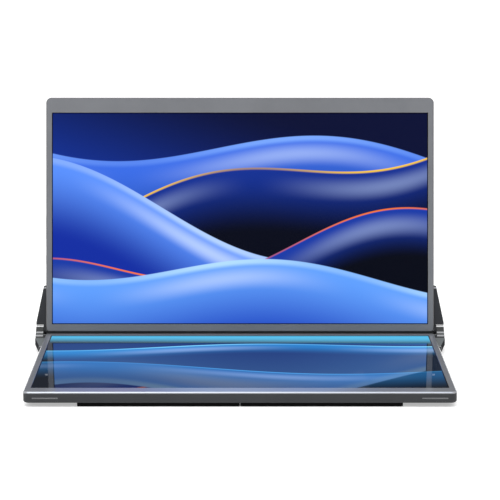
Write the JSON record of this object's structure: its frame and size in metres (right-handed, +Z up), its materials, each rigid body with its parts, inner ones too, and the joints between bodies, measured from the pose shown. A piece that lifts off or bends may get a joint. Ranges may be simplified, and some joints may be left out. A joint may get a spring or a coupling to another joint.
{
  "type": "dual-screen portable monitor",
  "caption": "Portable monitor with a lower screen lying flat and an upper screen folding on geared double-shaft hinges at the sides.",
  "frame": {"origin": "on the desk, under the middle of the part's box", "axes": "+Z up, -Y towards the user, +X to the user's right, in millimetre-true scale"},
  "size_m": [0.3746, 0.2652, 0.2256],
  "materials": {
    "frame_grey": "fine blasted, with a bright cut edge",
    "screen_glass": "gloss",
    "lcd_film": "lit picture",
    "backlight_white": "satin",
    "cover_dark": "fine blasted, dark",
    "screw_black": "blackened",
    "circuit_board": "solder mask",
    "chip_black": "moulded",
    "socket_steel": "drawn",
    "ribbon_film": "film",
    "button_dark": "satin",
    "arm_dark": "fine blasted, dark",
    "shaft_steel": "ground",
    "trim_bright": "cut bright",
    "speaker_black": "moulded",
    "foot_rubber": "matt"
  },
  "bodies": {
    "base": {"lower_bezel": "frame_grey", "lower_glass": "screen_glass", "lower_lcd_panel": "lcd_film", "lower_backlight": "backlight_white", "lower_back_cover": "cover_dark", "lower_cover_screws": "screw_black", "lower_hinge_screws": "screw_black", "lower_control_board": "circuit_board", "lower_board_chips": "chip_black", "lower_usb_c_sockets": "socket_steel", "lower_hdmi_socket": "socket_steel", "lower_display_ribbon": "ribbon_film", "lower_key_board": "circuit_board", "lower_key_switches": "chip_black", "lower_left_hinge_arm": "arm_dark", "lower_left_hinge_shaft": "shaft_steel", "lower_right_hinge_arm": "arm_dark", "lower_right_hinge_shaft": "shaft_steel", "speakers": "speaker_black", "speaker_grilles": "trim_bright", "front_feet": "foot_rubber", "rear_feet": "foot_rubber"},
    "hinge_links": {"left_link_housing": "arm_dark", "left_link_cap": "arm_dark", "left_link_trim": "trim_bright", "right_link_housing": "arm_dark", "right_link_cap": "arm_dark", "right_link_trim": "trim_bright", "friction_washers": "shaft_steel", "idler_pins": "shaft_steel"},
    "lid": {"upper_bezel": "frame_grey", "upper_glass": "screen_glass", "upper_lcd_panel": "lcd_film", "upper_backlight": "backlight_white", "upper_back_cover": "cover_dark", "upper_cover_screws": "screw_black", "upper_hinge_screws": "screw_black", "upper_control_board": "circuit_board", "upper_board_chips": "chip_black", "upper_usb_c_sockets": "socket_steel", "upper_hdmi_socket": "socket_steel", "upper_display_ribbon": "ribbon_film", "upper_key_board": "circuit_board", "upper_key_switches": "chip_black", "upper_left_hinge_arm": "arm_dark", "upper_left_hinge_shaft": "shaft_steel", "upper_right_hinge_arm": "arm_dark", "upper_right_hinge_shaft": "shaft_steel"},
    "left_idler_1": {"left_idler_gear_1": "shaft_steel"},
    "left_idler_2": {"left_idler_gear_2": "shaft_steel"},
    "right_idler_1": {"right_idler_gear_1": "shaft_steel"},
    "right_idler_2": {"right_idler_gear_2": "shaft_steel"},
    "lower_power": {"lower_power_button": "button_dark"},
    "lower_rocker": {"lower_menu_rocker": "button_dark"},
    "upper_power": {"upper_power_button": "button_dark"},
    "upper_rocker": {"upper_menu_rocker": "button_dark"}
  },
  "joints": [
    {"name": "lower_hinge", "type": "hinge", "parent": "base", "child": "hinge_links", "pos_m": [0, 0.08077, 0.00825], "axis": [-1, 0, 0], "range_deg": [-50.3, 126]},
    {"name": "upper_hinge", "type": "hinge", "parent": "hinge_links", "child": "lid", "pos_m": [0, 0.089, 0.01508], "axis": [-1, 0, 0], "range_deg": [-50.3, 126]},
    {"name": "left_idler_1_spin", "type": "hinge", "parent": "hinge_links", "child": "left_idler_1", "pos_m": [0, 0.0838, 0.01076], "axis": [-1, 0, 0], "range_deg": [-89.92, 224.5]},
    {"name": "left_idler_2_spin", "type": "hinge", "parent": "hinge_links", "child": "left_idler_2", "pos_m": [0, 0.08598, 0.01257], "axis": [-1, 0, 0], "range_deg": [-224.5, 89.92]},
    {"name": "right_idler_1_spin", "type": "hinge", "parent": "hinge_links", "child": "right_idler_1", "pos_m": [0, 0.0838, 0.01076], "axis": [-1, 0, 0], "range_deg": [-89.92, 224.5]},
    {"name": "right_idler_2_spin", "type": "hinge", "parent": "hinge_links", "child": "right_idler_2", "pos_m": [0, 0.08598, 0.01257], "axis": [-1, 0, 0], "range_deg": [-224.5, 89.92]},
    {"name": "lower_power_press", "type": "slide", "parent": "base", "child": "lower_power", "axis": [-1, 0, 0], "range_m": [0, 0.0006], "stiffness_N_per_m": 300},
    {"name": "lower_rocker_tip", "type": "hinge", "parent": "base", "child": "lower_rocker", "pos_m": [0.1711, -0.01363, 0.00675], "axis": [0, 0, 1], "range_deg": [-2, 2], "stiffness_Nm_per_rad": 0.03},
    {"name": "upper_power_press", "type": "slide", "parent": "lid", "child": "upper_power", "axis": [1, 0, 0], "range_m": [0, 0.0006], "stiffness_N_per_m": 300},
    {"name": "upper_rocker_tip", "type": "hinge", "parent": "lid", "child": "upper_rocker", "pos_m": [-0.1711, 0.10784, 0.1076], "axis": [0, -0.9829, 0.184], "range_deg": [-2, 2], "stiffness_Nm_per_rad": 0.03}
  ],
  "couplings": [
    {"joint": "upper_hinge", "follows": "lower_hinge", "ratio": 1},
    {"joint": "left_idler_1_spin", "follows": "lower_hinge", "ratio": 1.7778},
    {"joint": "left_idler_2_spin", "follows": "lower_hinge", "ratio": -1.7778},
    {"joint": "right_idler_1_spin", "follows": "lower_hinge", "ratio": 1.7778},
    {"joint": "right_idler_2_spin", "follows": "lower_hinge", "ratio": -1.7778}
  ]
}
